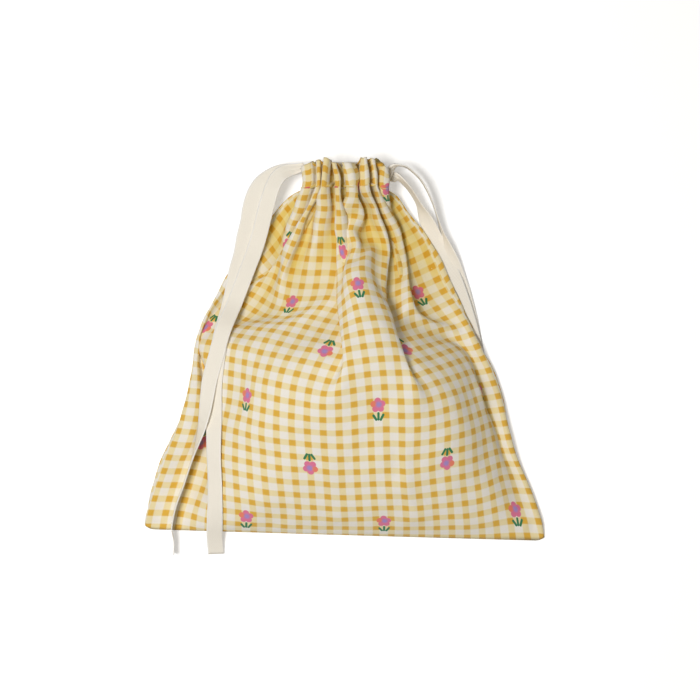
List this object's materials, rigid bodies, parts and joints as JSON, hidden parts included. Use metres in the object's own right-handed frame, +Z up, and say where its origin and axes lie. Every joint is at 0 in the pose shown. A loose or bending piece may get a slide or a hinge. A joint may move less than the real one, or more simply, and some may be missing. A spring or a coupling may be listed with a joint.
{
  "type": "kinchaku drawstring pouch",
  "caption": "Flat cloth pouch drawn shut by ribbons that run round its gathered mouth, lying on its back with the ribbon tails beside it.",
  "frame": {"origin": "middle of the cloth's box in X and Y, on the surface that the pouch lies on", "axes": "+X across the pouch to its right seam, +Y from the bottom fold to the mouth, +Z up, out of the front"},
  "size_m": [0.249, 0.2458, 0.0539],
  "materials": {
    "printed_cotton": "matt plain weave, mustard and white gingham with small scattered flowers",
    "cream_ribbon": "matt cream cotton ribbon with a fine woven edge"
  },
  "bodies": {
    "root": {"pouch_cloth": "printed_cotton", "left_drawstring": "cream_ribbon", "right_drawstring": "cream_ribbon"}
  },
  "joints": []
}
